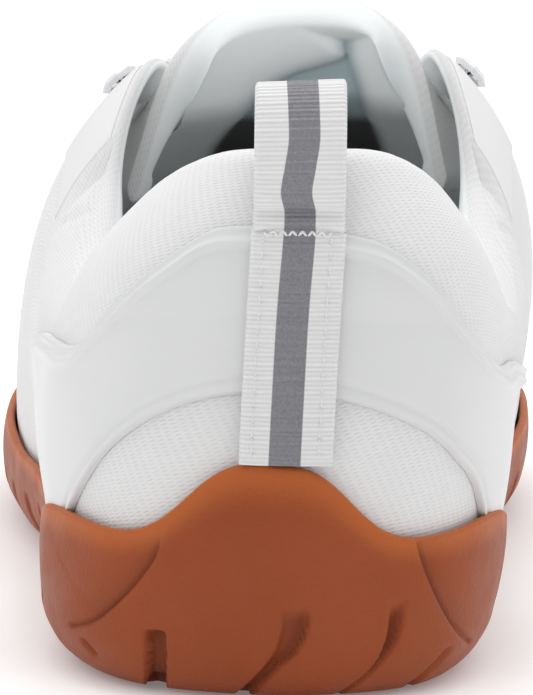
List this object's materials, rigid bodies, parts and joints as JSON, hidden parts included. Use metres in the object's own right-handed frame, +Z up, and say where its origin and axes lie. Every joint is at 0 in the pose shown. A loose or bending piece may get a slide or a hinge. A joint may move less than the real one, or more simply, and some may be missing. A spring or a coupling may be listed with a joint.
{
  "type": "barefoot shoe",
  "caption": "Low textile sports shoe for the left foot with a thin rubber cup sole, padded collar, tongue, laces and heel pull loop, standing empty.",
  "frame": {"origin": "middle of the flat spot under the heel", "axes": "+Y towards the toe, +X towards the medial side (big toe), +Z up"},
  "size_m": [0.1067, 0.2851, 0.1056],
  "materials": {
    "white_textile": "matt knitted mesh",
    "white_film": "smooth satin film",
    "gum_rubber": "fine pebbled grain",
    "black_foam": "matt",
    "white_enamel": "satin"
  },
  "bodies": {
    "root": {"outsole": "gum_rubber", "upper": "white_textile", "insole": "black_foam", "tongue": "white_textile", "heel_overlay": "white_film", "eyestay": "white_film", "pull_loop": "white_textile", "lace": "white_textile", "eyelet_lateral_1": "white_enamel", "eyelet_lateral_2": "white_enamel", "eyelet_lateral_3": "white_enamel", "eyelet_lateral_4": "white_enamel", "eyelet_lateral_5": "white_enamel", "eyelet_medial_1": "white_enamel", "eyelet_medial_2": "white_enamel", "eyelet_medial_3": "white_enamel", "eyelet_medial_4": "white_enamel", "eyelet_medial_5": "white_enamel"}
  },
  "joints": []
}
